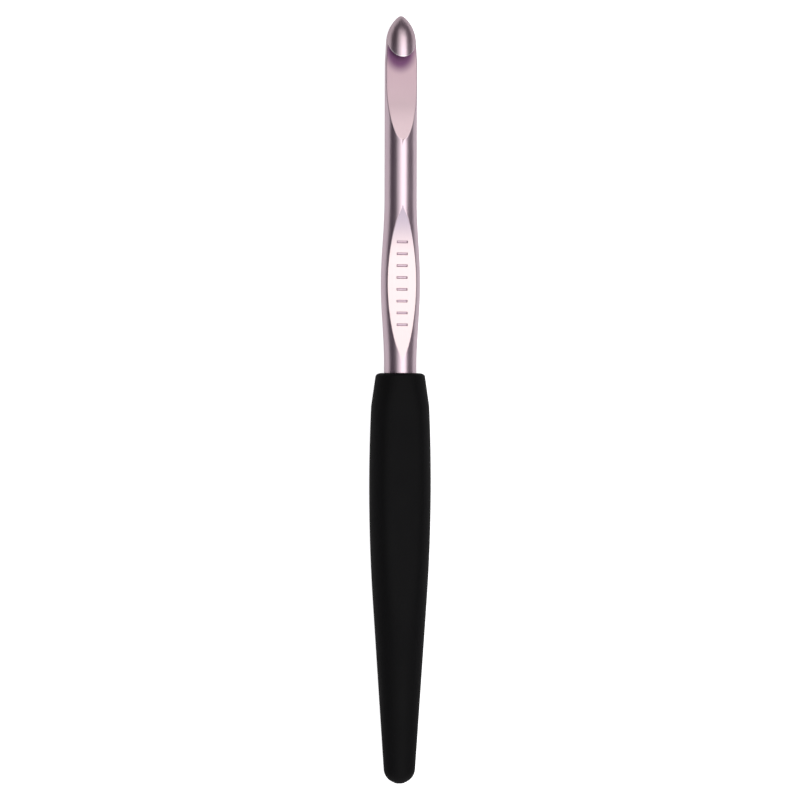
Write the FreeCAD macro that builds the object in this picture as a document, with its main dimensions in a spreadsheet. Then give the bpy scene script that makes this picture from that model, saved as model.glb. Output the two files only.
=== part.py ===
"""Crochet hook with a soft-grip handle, as a parametric document.

The object is an anodised aluminium hook, a hard core moulded round its tang, and a soft
skin moulded over the core.  All sizes are in millimetres and all angles in degrees.

Every piece is drawn in one working frame: x runs back from the tip along the axis of the
shaft, z points out of the throat.  The finished pieces are then placed in the part's own
frame, lying on a table: +X towards the tip, +Z out of the throat, and the origin on the
table under the middle of the length.
"""
import FreeCAD, Part
import math
import os

import Sketcher
from FreeCAD import Placement, Rotation, Vector

SIZES = {
    # overall
    "OverallLength": 189.0,    # tip to butt
    "HandleLength": 101.0,     # mouth of the handle to the butt
    "ShaftDiameter": 8.0,      # the size of the hook
    # head
    "NoseRadius": 1.2,         # blunt point of the head
    "ShoulderPlace": 6.2,      # end of the pointed nose, from the tip
    "HeadTaper": 0.31,         # how much thinner the shoulder is than the shaft, per side
    "HeadLength": 11.5,        # where the head has grown to the full shaft, from the tip
    # throat
    "LipPlace": 10.35,         # edge of the lip, from the tip
    "LipAngle": 37.0,          # undercut face of the lip, to the axis
    "LipEdgeRadius": 0.18,     # rounding of the lip, so that it doesn't split the yarn
    "ThroatDepth": 2.7,        # floor of the throat below the top of the shaft
    "NotchRadius": 0.3,        # inner corner of the notch
    "RampPlace": 18.9,         # where the floor turns up into the ramp, from the tip
    "RampAngle": 12.7,         # slope of the ramp back up to the shaft
    "RampRadius": 30.0,        # blend from the floor into the ramp
    # thumb rest
    "RestPlace": 66.0,         # middle of the thumb rest, from the tip
    "RestLength": 41.0,        # length over which the shaft is pressed wider
    "RestWidth": 9.72,         # widest place of the rest
    "RestThickness": 5.42,     # thinnest place, between the two dishes
    "DishRadius": 120.0,       # hollow of each dish along the shaft
    # tang, inside the handle
    "ShaftSeat": 4.0,          # how far the full shaft goes into the handle
    "TangDiameter": 6.0,
    "TangLength": 62.0,        # end of the tang, from the mouth of the handle
    "TangChamfer": 0.6,
    "KeyPlace": 24.0,          # start of the two key flats, from the mouth of the handle
    "KeyLength": 30.0,
    "KeyThickness": 4.6,       # across the two key flats
    "NeckPlace": 12.0,         # ring groove that holds the core endways, from the mouth
    "NeckWidth": 3.0,
    "NeckDiameter": 4.8,
    # handle
    "MouthWall": 2.1,          # handle round the shaft at its mouth
    "MouthRadius": 0.6,        # rounded rim of the mouth
    "FlareLength": 8.1,        # length of the flare behind the mouth
    "GripWidth": 15.24,        # widest place of the grip
    "GripPlace": 27.5,         # widest place, from the mouth
    "SwellRadius": 430.0,      # long curve of the grip
    "ButtRadius": 3.6,         # rounded end
    "ButtFlat": 0.6,           # small flat in the middle of the end
    "OvalRatio": 0.9,          # depth of the handle's oval over its width
    "GripThickness": 11.4,     # between the flats above and below, which keep it from rolling
    # core and skin
    "SkinThickness": 1.2,
    "FrontSkin": 2.4,          # skin in front of the core, which closes round the shaft
    "CoreCorner": 0.4,         # rounding of the core's front rim
    "PinDiameter": 2.4,        # tail pin that holds the core in the mould
    "RingPlace": 13.0,         # first groove that locks the skin to the core, from the mouth
    "RingPitch": 7.0,
    "RingWidth": 2.2,
    "RingDepth": 0.7,
}

CUT_CLEARANCE = 0.8            # how far a cutting shape stands out of the metal
SECTION_COUNT = 9              # sections of the swollen thumb rest
RING_COUNT = 4                 # ring grooves in the core
TOUCH = 0.001                  # closer than this, two places are the same

# Where the head's arcs start before their constraints settle them: the nose's two points in
# nose radii, and the flank's middle as shares of the shoulder's place and radius.
NOSE_END_GUESS = (0.25, 0.66)
NOSE_MIDDLE_GUESS = (0.07, 0.36)
FLANK_MIDDLE_GUESS = (0.38, 0.68)

document = FreeCAD.newDocument("crochet_hook")


def make_sheet():
    """Write the driving dimensions into the spreadsheet, one named cell each."""
    sheet = document.addObject("Spreadsheet::Sheet", "Sizes")
    for row, (alias, value) in enumerate(SIZES.items(), start=1):
        sheet.set(f"A{row}", alias)
        sheet.set(f"B{row}", str(value))
        sheet.setAlias(f"B{row}", alias)
    document.recompute()
    return sheet


sizes = make_sheet()

# Expressions that several pieces share.
SHAFT_RADIUS = "Sizes.ShaftDiameter / 2"
MOUTH = "(Sizes.OverallLength - Sizes.HandleLength)"
FLOOR_HEIGHT = f"({SHAFT_RADIUS} - Sizes.ThroatDepth)"
TOP_LEVEL = f"({SHAFT_RADIUS} + {CUT_CLEARANCE})"
AXIS_HEIGHT = "Sizes.GripThickness / 2"
LIP_HEIGHT = (
    f"({SHAFT_RADIUS} - Sizes.HeadTaper * (Sizes.HeadLength - Sizes.LipPlace)"
    " / (Sizes.HeadLength - Sizes.ShoulderPlace))"
)
REST_START = "(Sizes.RestPlace - Sizes.RestLength / 2)"
REST_END = "(Sizes.RestPlace + Sizes.RestLength / 2)"


def number(expression):
    """Give the value that an expression has now."""
    return float(sizes.evalExpression(expression))


def place_on_table(piece):
    """Turn a finished piece so that its tip points to +X, and lay it on the table."""
    piece.Placement = Placement(Vector(), Rotation(Vector(0, 0, 1), 180))
    piece.setExpression("Placement.Base.x", "Sizes.OverallLength / 2")
    piece.setExpression("Placement.Base.z", AXIS_HEIGHT)


def origin_plane(body, role):
    """Find one of a body's own origin planes."""
    return next(feature for feature in body.Origin.OriginFeatures if feature.Role == role)


def make_body(name):
    """Start a body."""
    return document.addObject("PartDesign::Body", name)


def make_sketch(body, name, role="XZ_Plane"):
    """Start a sketch on one of the body's origin planes."""
    sketch = body.newObject("Sketcher::SketchObject", name)
    sketch.AttachmentSupport = (origin_plane(body, role), [""])
    sketch.MapMode = "FlatFace"
    return sketch


def dimension(sketch, kind, elements, expression):
    """Add a dimension whose value the expression drives."""
    value = number(expression)
    if kind == "Angle":
        value = math.radians(value)
    index = sketch.addConstraint(Sketcher.Constraint(kind, *elements, value))
    sketch.setExpression(f"Constraints[{index}]", expression)


def locate(sketch, geometry, end, across=None, up=None, down=None):
    """Dimension a point from the sketch's origin: across and up, or down where it is below."""
    if across is not None:
        dimension(sketch, "DistanceX", (-1, 1, geometry, end), across)
    if up is not None:
        dimension(sketch, "DistanceY", (-1, 1, geometry, end), up)
    if down is not None:
        dimension(sketch, "DistanceY", (geometry, end, -1, 1), down)


def add_line(sketch, start, end):
    """Draw a line between two points given as numbers."""
    return sketch.addGeometry(Part.LineSegment(Vector(*start, 0), Vector(*end, 0)), False)


def add_arc(sketch, start, middle, end):
    """Draw an arc through three points given as numbers, in anticlockwise order."""
    arc = Part.Arc(Vector(*start, 0), Vector(*middle, 0), Vector(*end, 0))
    return sketch.addGeometry(arc, False)


def join(sketch, first, first_end, second, second_end):
    """Make two ends one point."""
    sketch.addConstraint(Sketcher.Constraint("Coincident", first, first_end, second, second_end))


def blend(sketch, first, first_end, second, second_end):
    """Make two ends one point, with the edges tangent there."""
    sketch.addConstraint(Sketcher.Constraint("Tangent", first, first_end, second, second_end))


def add_polygon(sketch, corners):
    """Draw a closed outline of straight edges through corners given as expressions."""
    points = [(number(across), number(up)) for across, up in corners]
    edges = []
    for here, there in zip(points, points[1:] + points[:1]):
        edges.append(add_line(sketch, here, there))
    for edge, following, (across, up) in zip(edges, edges[1:] + edges[:1], corners[1:] + corners[:1]):
        join(sketch, edge, 2, following, 1)
        locate(sketch, edge, 2, across=across, up=up)


def revolve(body, sketch, name, kind="PartDesign::Revolution"):
    """Turn a half outline all the way round the axis of the shaft."""
    feature = body.newObject(kind, name)
    feature.Profile = sketch
    feature.ReferenceAxis = (sketch, ["H_Axis"])
    feature.Angle = 360
    document.recompute()
    return feature


def cut_across(body, sketch, name):
    """Cut an outline right across the piece, both ways from the sketch."""
    feature = body.newObject("PartDesign::Pocket", name)
    feature.Profile = sketch
    feature.Midplane = True
    feature.Type = 0
    feature.setExpression("Length", "2 * Sizes.GripWidth")
    document.recompute()
    return feature


# --- hook ------------------------------------------------------------------------------------

def draw_chain(sketch, corners):
    """Draw straight edges from corner to corner, given as expressions, and dimension each corner."""
    points = [(number(across), number(up)) for across, up in corners]
    edges = [add_line(sketch, here, there) for here, there in zip(points, points[1:])]
    for edge, following in zip(edges, edges[1:]):
        join(sketch, edge, 2, following, 1)
    locate(sketch, edges[0], 1, *corners[0])
    for edge, (across, up) in zip(edges, corners[1:]):
        locate(sketch, edge, 2, across, up)
    return edges


def draw_head(body):
    """Half outline of the front of the rod: blunt point, ogive flank, slight cone, and shaft."""
    sketch = make_sketch(body, "HeadOutline")
    shoulder_radius = f"{SHAFT_RADIUS} - Sizes.HeadTaper"
    nose = number("Sizes.NoseRadius")
    shoulder = (number("Sizes.ShoulderPlace"), number(shoulder_radius))
    nose_end = (NOSE_END_GUESS[0] * nose, NOSE_END_GUESS[1] * nose)
    nose_middle = (NOSE_MIDDLE_GUESS[0] * nose, NOSE_MIDDLE_GUESS[1] * nose)
    flank_middle = (FLANK_MIDDLE_GUESS[0] * shoulder[0], FLANK_MIDDLE_GUESS[1] * shoulder[1])

    nose_arc = add_arc(sketch, nose_end, nose_middle, (0, 0))
    flank = add_arc(sketch, shoulder, flank_middle, nose_end)
    edges = draw_chain(sketch, [
        ("Sizes.ShoulderPlace", shoulder_radius),
        ("Sizes.HeadLength", SHAFT_RADIUS),
        (REST_START, SHAFT_RADIUS),
        (REST_START, "0"),
        ("0", "0"),
    ])
    join(sketch, edges[-1], 2, nose_arc, 2)
    sketch.addConstraint(Sketcher.Constraint("PointOnObject", nose_arc, 3, -1))
    dimension(sketch, "Radius", (nose_arc,), "Sizes.NoseRadius")
    blend(sketch, flank, 2, nose_arc, 1)
    blend(sketch, edges[0], 1, flank, 1)
    return sketch


def draw_tang(body):
    """Half outline of the back of the rod: shaft, its seat in the handle, and the thinner tang."""
    sketch = make_sketch(body, "TangOutline")
    seat_end = f"{MOUTH} + Sizes.ShaftSeat"
    tang_end = f"{MOUTH} + Sizes.TangLength"
    neck_start = f"{MOUTH} + Sizes.NeckPlace"
    neck_end = f"{neck_start} + Sizes.NeckWidth"
    tang_radius = "Sizes.TangDiameter / 2"
    neck_radius = "Sizes.NeckDiameter / 2"
    corners = [
        (REST_END, "0"),
        (REST_END, SHAFT_RADIUS),
        (seat_end, SHAFT_RADIUS),
        (seat_end, tang_radius),
        (neck_start, tang_radius),
        (neck_start, neck_radius),
        (neck_end, neck_radius),
        (neck_end, tang_radius),
        (f"{tang_end} - Sizes.TangChamfer", tang_radius),
        (tang_end, f"{tang_radius} - Sizes.TangChamfer"),
        (tang_end, "0"),
    ]
    add_polygon(sketch, corners)
    return sketch


def draw_rest_section(body, index):
    """One section of the thumb rest, as wide as a raised cosine of its place along the rest.

    The sections at both ends are the round shaft itself.
    """
    sketch = make_sketch(body, f"RestSection{index}", "YZ_Plane")
    share = 2 * index / (SECTION_COUNT - 1) - 1
    sketch.setExpression("AttachmentOffset.Base.z", f"Sizes.RestPlace + {share} * Sizes.RestLength / 2")
    if abs(share) == 1:
        circle = sketch.addGeometry(Part.Circle(Vector(), Vector(0, 0, 1), number(SHAFT_RADIUS)), False)
        join(sketch, circle, 3, -1, 1)
        dimension(sketch, "Radius", (circle,), SHAFT_RADIUS)
        return sketch
    swell = f"(Sizes.RestWidth / 2 - {SHAFT_RADIUS}) * cos({90 * share} deg)^2"
    half_width = f"{SHAFT_RADIUS} + {swell}"
    ellipse = Part.Ellipse(Vector(), number(half_width), number(SHAFT_RADIUS))
    outline = sketch.addGeometry(ellipse, False)
    sketch.exposeInternalGeometry(outline)
    major = outline + 1
    minor = outline + 2
    join(sketch, outline, 3, -1, 1)
    sketch.addConstraint(Sketcher.Constraint("Horizontal", major))
    dimension(sketch, "Distance", (major,), f"2 * ({half_width})")
    dimension(sketch, "Distance", (minor,), f"2 * {SHAFT_RADIUS}")
    return sketch


def swell_thumb_rest(body):
    """The stretch of shaft that is pressed wider to both sides."""
    sections = [draw_rest_section(body, index) for index in range(SECTION_COUNT)]
    document.recompute()
    swelling = body.newObject("PartDesign::AdditiveLoft", "RestSwelling")
    swelling.Profile = sections[0]
    swelling.Sections = sections[1:]
    document.recompute()


def hollow_thumb_rest(body):
    """Hollow the rest with one long dish from above and one from below."""
    for name, side in (("TopDish", 1), ("BottomDish", -1)):
        dish = body.newObject("PartDesign::SubtractiveCylinder", name)
        dish.AttachmentSupport = (origin_plane(body, "XZ_Plane"), [""])
        dish.MapMode = "FlatFace"
        dish.setExpression("Radius", "Sizes.DishRadius")
        dish.setExpression("Height", "2 * Sizes.RestWidth")
        dish.setExpression("AttachmentOffset.Base.x", "Sizes.RestPlace")
        dish.setExpression("AttachmentOffset.Base.y", f"{side} * (Sizes.DishRadius + Sizes.RestThickness / 2)")
        dish.setExpression("AttachmentOffset.Base.z", "-Sizes.RestWidth")
        document.recompute()


def draw_throat(body):
    """Side outline of what is cut away: lip face, notch corner, flat floor, and ramp."""
    sketch = make_sketch(body, "ThroatOutline")
    lip_slope = "tan(Sizes.LipAngle * 1 deg)"
    ramp_slope = "tan(Sizes.RampAngle * 1 deg)"
    lip_top = f"Sizes.LipPlace + ({TOP_LEVEL} - {LIP_HEIGHT}) / {lip_slope}"
    lip_foot = f"Sizes.LipPlace - ({LIP_HEIGHT} - {FLOOR_HEIGHT}) / {lip_slope}"
    ramp_top = f"Sizes.RampPlace + ({TOP_LEVEL} - {FLOOR_HEIGHT}) / {ramp_slope}"

    top = number(TOP_LEVEL)
    floor = number(FLOOR_HEIGHT)
    lip_angle = math.radians(number("Sizes.LipAngle"))
    notch_radius = number("Sizes.NotchRadius")
    notch_reach = notch_radius / math.tan(lip_angle / 2)
    notch_place = number(lip_foot) + notch_reach
    lip_end = (
        number(lip_foot) + notch_reach * math.cos(lip_angle),
        floor + notch_reach * math.sin(lip_angle),
    )
    notch_middle = (
        notch_place - notch_radius * math.cos(lip_angle / 2),
        floor + notch_radius * (1 - math.sin(lip_angle / 2)),
    )
    ramp_angle = math.radians(number("Sizes.RampAngle"))
    ramp_radius = number("Sizes.RampRadius")
    ramp_reach = ramp_radius * math.tan(ramp_angle / 2)
    turn_place = number("Sizes.RampPlace") - ramp_reach
    turn_middle = (
        turn_place + ramp_radius * math.sin(ramp_angle / 2),
        floor + ramp_radius * (1 - math.cos(ramp_angle / 2)),
    )
    ramp_start = (
        turn_place + ramp_radius * math.sin(ramp_angle),
        floor + ramp_radius * (1 - math.cos(ramp_angle)),
    )

    lip = add_line(sketch, (number(lip_top), top), lip_end)
    corner = add_arc(sketch, lip_end, notch_middle, (notch_place, floor))
    bottom = add_line(sketch, (notch_place, floor), (turn_place, floor))
    turn = add_arc(sketch, (turn_place, floor), turn_middle, ramp_start)
    ramp = add_line(sketch, ramp_start, (number(ramp_top), top))
    lid = add_line(sketch, (number(ramp_top), top), (number(lip_top), top))

    blend(sketch, lip, 2, corner, 1)
    blend(sketch, corner, 2, bottom, 1)
    blend(sketch, bottom, 2, turn, 1)
    blend(sketch, turn, 2, ramp, 1)
    join(sketch, ramp, 2, lid, 1)
    join(sketch, lid, 2, lip, 1)
    sketch.addConstraint(Sketcher.Constraint("Horizontal", bottom))
    locate(sketch, bottom, 1, up=FLOOR_HEIGHT)
    locate(sketch, lip, 1, lip_top, TOP_LEVEL)
    locate(sketch, ramp, 2, ramp_top, TOP_LEVEL)
    dimension(sketch, "Angle", (lid, lip), "Sizes.LipAngle * 1 deg")
    dimension(sketch, "Angle", (ramp,), "Sizes.RampAngle * 1 deg")
    dimension(sketch, "Radius", (corner,), "Sizes.NotchRadius")
    dimension(sketch, "Radius", (turn,), "Sizes.RampRadius")
    return sketch


def lip_edges(shape):
    """Names of the edges where the undercut face meets the outside of the head."""
    slope = number("tan(Sizes.LipAngle * 1 deg)")
    place = number("Sizes.LipPlace")
    height = number(LIP_HEIGHT)
    names = []
    for index, edge in enumerate(shape.Edges, start=1):
        if edge.Degenerated:
            continue
        points = edge.discretize(5)
        bow = points[2].distanceToPoint((points[0] + points[-1]) * 0.5)
        gaps = [abs(point.z - height - slope * (point.x - place)) for point in points]
        if bow > TOUCH and max(gaps) < TOUCH:
            names.append(f"Edge{index}")
    return names


def round_lip(body, throat):
    """Round the edge of the lip."""
    rounding = body.newObject("PartDesign::Fillet", "LipEdge")
    rounding.Base = (throat, lip_edges(throat.Shape))
    rounding.setExpression("Radius", "Sizes.LipEdgeRadius")
    document.recompute()


def cut_key_flats(body):
    """Two flats on the tang, which stop the handle turning on the metal."""
    heights = {
        "TopKey": "Sizes.KeyThickness / 2",
        "BottomKey": "-Sizes.KeyThickness / 2 - Sizes.TangDiameter",
    }
    for name, height in heights.items():
        flat = body.newObject("PartDesign::SubtractiveBox", name)
        flat.AttachmentSupport = (origin_plane(body, "XY_Plane"), [""])
        flat.MapMode = "FlatFace"
        flat.setExpression("Length", "Sizes.KeyLength")
        flat.setExpression("Width", "2 * Sizes.TangDiameter")
        flat.setExpression("Height", "Sizes.TangDiameter")
        flat.setExpression("AttachmentOffset.Base.x", f"{MOUTH} + Sizes.KeyPlace")
        flat.setExpression("AttachmentOffset.Base.y", "-Sizes.TangDiameter")
        flat.setExpression("AttachmentOffset.Base.z", height)
        document.recompute()


def make_hook():
    """The one metal piece, from the tip to the end of the tang."""
    body = make_body("hook")
    swell_thumb_rest(body)
    revolve(body, draw_head(body), "Head")
    revolve(body, draw_tang(body), "Tang")
    hollow_thumb_rest(body)
    cut_key_flats(body)
    throat = cut_across(body, draw_throat(body), "Throat")
    round_lip(body, throat)
    place_on_table(body)
    return body


# --- handle ----------------------------------------------------------------------------------

def draw_handle(body, front, inset, corner):
    """Half outline of the handle, or of the core a skin's thickness inside it.

    front is how far its face lies behind the mouth, inset how far its side lies inside the
    handle's, and corner the rounding of its front rim, each an expression.
    """
    sketch = make_sketch(body, "Outline")
    face_place = f"{MOUTH} + {front}"
    flare_place = f"{MOUTH} + Sizes.FlareLength"
    end_place = f"Sizes.OverallLength - {inset}"
    corner_height = f"{SHAFT_RADIUS} + Sizes.MouthWall - {inset} - {corner}"
    swell_radius = f"Sizes.SwellRadius - {inset}"
    butt_radius = f"Sizes.ButtRadius - {inset}"

    start = number(face_place)
    flare = number(flare_place)
    end = number(end_place)
    rim = number(corner_height)
    bend = number(corner)
    crest = number("Sizes.GripWidth / 2") - number(inset)
    flat = number("Sizes.ButtFlat / 2")
    round_end = number(butt_radius)
    middle = (start + end) / 2
    crest_place = number(f"{MOUTH} + Sizes.GripPlace")
    flare_height = crest - (crest_place - flare) ** 2 / (2 * number(swell_radius))
    middle_height = crest - (middle - crest_place) ** 2 / (2 * number(swell_radius))
    diagonal = math.sqrt(0.5)

    face = add_line(sketch, (start, 0), (start, rim))
    rim_top = (start + bend, rim + bend)
    rim_middle = (start + bend * (1 - diagonal), rim + bend * diagonal)
    rim_arc = add_arc(sketch, rim_top, rim_middle, (start, rim))
    side = add_line(sketch, rim_top, (flare, flare_height))
    swell = add_arc(sketch, (middle, middle_height), (crest_place, crest), (flare, flare_height))
    taper = add_line(sketch, (middle, middle_height), (end - round_end, flat + round_end))
    butt_middle = (end - round_end * (1 - diagonal), flat + round_end * diagonal)
    butt = add_arc(sketch, (end, flat), butt_middle, (end - round_end, flat + round_end))
    tail = add_line(sketch, (end, flat), (end, 0))
    axis = add_line(sketch, (end, 0), (start, 0))

    sketch.addConstraint(Sketcher.Constraint("Vertical", face))
    sketch.addConstraint(Sketcher.Constraint("Vertical", tail))
    sketch.addConstraint(Sketcher.Constraint("PointOnObject", axis, 1, -1))
    sketch.addConstraint(Sketcher.Constraint("PointOnObject", axis, 2, -1))
    join(sketch, axis, 2, face, 1)
    join(sketch, tail, 2, axis, 1)
    blend(sketch, face, 2, rim_arc, 2)
    blend(sketch, side, 1, rim_arc, 1)
    join(sketch, side, 2, swell, 2)
    blend(sketch, taper, 1, swell, 1)
    blend(sketch, taper, 2, butt, 2)
    blend(sketch, tail, 1, butt, 1)
    locate(sketch, axis, 2, across=face_place)
    locate(sketch, rim_arc, 3, up=corner_height)
    dimension(sketch, "Radius", (rim_arc,), corner)
    locate(sketch, side, 2, across=flare_place)
    locate(sketch, swell, 3, across=f"{MOUTH} + Sizes.GripPlace", down="Sizes.SwellRadius - Sizes.GripWidth / 2")
    dimension(sketch, "Radius", (swell,), swell_radius)
    locate(sketch, butt, 3, across="Sizes.OverallLength - Sizes.ButtRadius", up="Sizes.ButtFlat / 2")
    dimension(sketch, "Radius", (butt,), butt_radius)
    return sketch


def flatten(body, name):
    """Press a round form into the handle's oval, a little less deep than it is wide."""
    oval = document.addObject("Part::Scale", name)
    oval.Base = body
    oval.Uniform = False
    oval.XScale = 1
    oval.YScale = 1
    oval.setExpression("ZScale", "Sizes.OvalRatio")
    place_on_table(oval)
    document.recompute()
    return oval


def trim_flats(oval, name, inset):
    """Keep what lies between the two flats, less the inset on both sides, an expression."""
    slab = document.addObject("Part::Box", f"{name}Slab")
    slab.setExpression("Length", "Sizes.HandleLength + 2 * Sizes.ButtRadius")
    slab.setExpression("Width", "2 * Sizes.GripWidth")
    slab.setExpression("Height", f"Sizes.GripThickness - 2 * {inset}")
    slab.setExpression("Placement.Base.x", "-Sizes.OverallLength / 2 - Sizes.ButtRadius")
    slab.setExpression("Placement.Base.y", "-Sizes.GripWidth")
    slab.setExpression("Placement.Base.z", inset)
    trimmed = document.addObject("Part::Common", name)
    trimmed.Base = oval
    trimmed.Tool = slab
    document.recompute()
    return trimmed


def cut_away(name, base, tool):
    """Cut one solid out of another."""
    cut = document.addObject("Part::Cut", name)
    cut.Base = base
    cut.Tool = tool
    document.recompute()
    return cut


def make_handle_form():
    """The outside of the handle: an oval with a flat above and below."""
    body = make_body("RoundHandle")
    revolve(body, draw_handle(body, "0", "0", "Sizes.MouthRadius"), "Turned")
    return trim_flats(flatten(body, "HandleOval"), "HandleForm", "0")


def make_ring_form():
    """Washers round the core, where it is grooved for the skin to flow in and hold."""
    sketch = document.addObject("Sketcher::SketchObject", "RingOutline")
    sketch.Placement = Placement(Vector(), Rotation(Vector(1, 0, 0), 90))
    bottom = "Sizes.GripWidth / 2 - Sizes.SkinThickness - Sizes.RingDepth"
    for index in range(RING_COUNT):
        start = f"{MOUTH} + Sizes.RingPlace + {index} * Sizes.RingPitch"
        add_polygon(sketch, [
            (start, bottom),
            (f"{start} + Sizes.RingWidth", bottom),
            (f"{start} + Sizes.RingWidth", "Sizes.GripWidth"),
            (start, "Sizes.GripWidth"),
        ])
    washers = document.addObject("Part::Revolution", "Washers")
    washers.Source = sketch
    washers.Axis = Vector(1, 0, 0)
    washers.Angle = 360
    washers.Solid = True
    document.recompute()
    return flatten(washers, "RingForm")


def make_core_form(handle_form):
    """The outside of the core: the handle less its skin, with ring grooves and a tail pin."""
    body = make_body("RoundCore")
    outline = draw_handle(body, "Sizes.FrontSkin", "Sizes.SkinThickness", "Sizes.CoreCorner")
    revolve(body, outline, "Turned")
    trimmed = trim_flats(flatten(body, "CoreOval"), "CoreForm", "Sizes.SkinThickness")
    grooved = cut_away("GroovedCore", trimmed, make_ring_form())

    pin = document.addObject("Part::Cylinder", "PinBlank")
    pin.Placement = Placement(Vector(), Rotation(Vector(0, 1, 0), 90))
    pin.setExpression("Radius", "Sizes.PinDiameter / 2")
    pin.setExpression("Height", "2 * Sizes.ButtRadius")
    pin.setExpression("Placement.Base.x", "-Sizes.OverallLength / 2 - Sizes.ButtRadius / 2")
    pin.setExpression("Placement.Base.z", AXIS_HEIGHT)
    flush_pin = document.addObject("Part::Common", "TailPin")
    flush_pin.Base = pin
    flush_pin.Tool = handle_form

    form = document.addObject("Part::Fuse", "CoreBlank")
    form.Base = grooved
    form.Tool = flush_pin
    document.recompute()
    return form


def make_handle():
    """The core, moulded round the tang, and the skin, moulded over the core and to the shaft."""
    handle_form = make_handle_form()
    core_form = make_core_form(handle_form)
    core = cut_away("handle_core", core_form, hook)
    around_core = cut_away("SkinBlank", handle_form, core_form)
    skin = cut_away("grip_skin", around_core, hook)
    return core, skin


def check(pieces):
    """Stop if a feature failed or a piece isn't one sound solid."""
    for thing in document.Objects:
        if "Invalid" in thing.State or "Error" in thing.State or "Touched" in thing.State:
            raise RuntimeError(f"{thing.Name} failed: {thing.State}")
    for piece in pieces:
        if piece.Shape.isNull() or not piece.Shape.isValid() or len(piece.Shape.Solids) != 1:
            raise RuntimeError(f"{piece.Label} isn't one sound solid")


def write(pieces):
    """Write each piece to a file of its own."""
    os.makedirs("parts", exist_ok=True)
    for piece in pieces:
        piece.Shape.exportStep(f"parts/{piece.Label}.step")
        box = piece.Shape.optimalBoundingBox()
        print(f"{piece.Label}: {piece.Shape.Volume:.1f} mm3, {box}")


hook = make_hook()
handle_core, grip_skin = make_handle()
document.recompute()
PIECES = (hook, handle_core, grip_skin)
check(PIECES)
write(PIECES)
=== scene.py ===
"""Crochet hook: the looks of the metal and of its soft handle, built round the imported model.

The hook lies on a pale table with its throat up.  Shapes are drawn in millimetres in a
working frame: x is the station measured back from the tip along the axis of the shaft, and
z points out of the throat.  Finished meshes are then turned and moved into the model's own
frame, in metres, where +X points to the tip.
"""
from __future__ import annotations

import logging
import math
from dataclasses import dataclass, field
from enum import Enum
from typing import Any, Callable, Iterable, Optional, Union

import bmesh
import bpy
from mathutils import Matrix, Vector

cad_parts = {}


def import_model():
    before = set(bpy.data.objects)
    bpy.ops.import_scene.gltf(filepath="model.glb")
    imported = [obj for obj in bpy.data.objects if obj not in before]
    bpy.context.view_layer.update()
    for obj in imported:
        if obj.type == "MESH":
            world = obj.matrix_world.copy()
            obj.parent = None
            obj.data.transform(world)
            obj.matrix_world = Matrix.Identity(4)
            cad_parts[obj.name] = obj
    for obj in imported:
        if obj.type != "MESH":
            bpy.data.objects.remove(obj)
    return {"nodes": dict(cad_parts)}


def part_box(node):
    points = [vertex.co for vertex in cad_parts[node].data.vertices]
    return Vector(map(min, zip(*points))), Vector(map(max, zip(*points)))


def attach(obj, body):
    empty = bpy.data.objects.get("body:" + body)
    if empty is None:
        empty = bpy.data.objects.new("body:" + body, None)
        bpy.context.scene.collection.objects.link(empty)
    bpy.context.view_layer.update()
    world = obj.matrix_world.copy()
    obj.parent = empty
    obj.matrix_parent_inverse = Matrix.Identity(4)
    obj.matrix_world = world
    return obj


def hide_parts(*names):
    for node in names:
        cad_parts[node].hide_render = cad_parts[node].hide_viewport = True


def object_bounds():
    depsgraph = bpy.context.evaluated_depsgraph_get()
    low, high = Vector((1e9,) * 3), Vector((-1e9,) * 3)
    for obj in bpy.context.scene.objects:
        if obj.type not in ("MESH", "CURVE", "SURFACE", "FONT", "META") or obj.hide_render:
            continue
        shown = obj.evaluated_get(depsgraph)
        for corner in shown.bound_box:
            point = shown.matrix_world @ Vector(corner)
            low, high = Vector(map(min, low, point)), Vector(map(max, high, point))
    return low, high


log = logging.getLogger("crochet_hook")

MM = 0.001
MERGE = 0.0005          # points closer than this, in millimetres, are one
Colour = tuple[float, float, float]


# --- shader maths --------------------------------------------------------------------------

class Signal:
    """A socket's value in a material, on which Python's own operators add Math nodes."""

    def __init__(self, bench: "Bench", socket: bpy.types.NodeSocket) -> None:
        """Wrap one output socket of a bench's node."""
        self.bench = bench
        self.socket = socket

    def _math(self, operation: str, first: "Number", second: "Number") -> "Signal":
        """Add one Math node for two operands."""
        return self.bench.node(
            "ShaderNodeMath", {"operation": operation}, {0: first, 1: second}
        )

    def __add__(self, other: "Number") -> "Signal":
        """self + other"""
        return self._math("ADD", self, other)

    __radd__ = __add__

    def __mul__(self, other: "Number") -> "Signal":
        """self * other"""
        return self._math("MULTIPLY", self, other)

    __rmul__ = __mul__


Number = Union[Signal, float]


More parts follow.
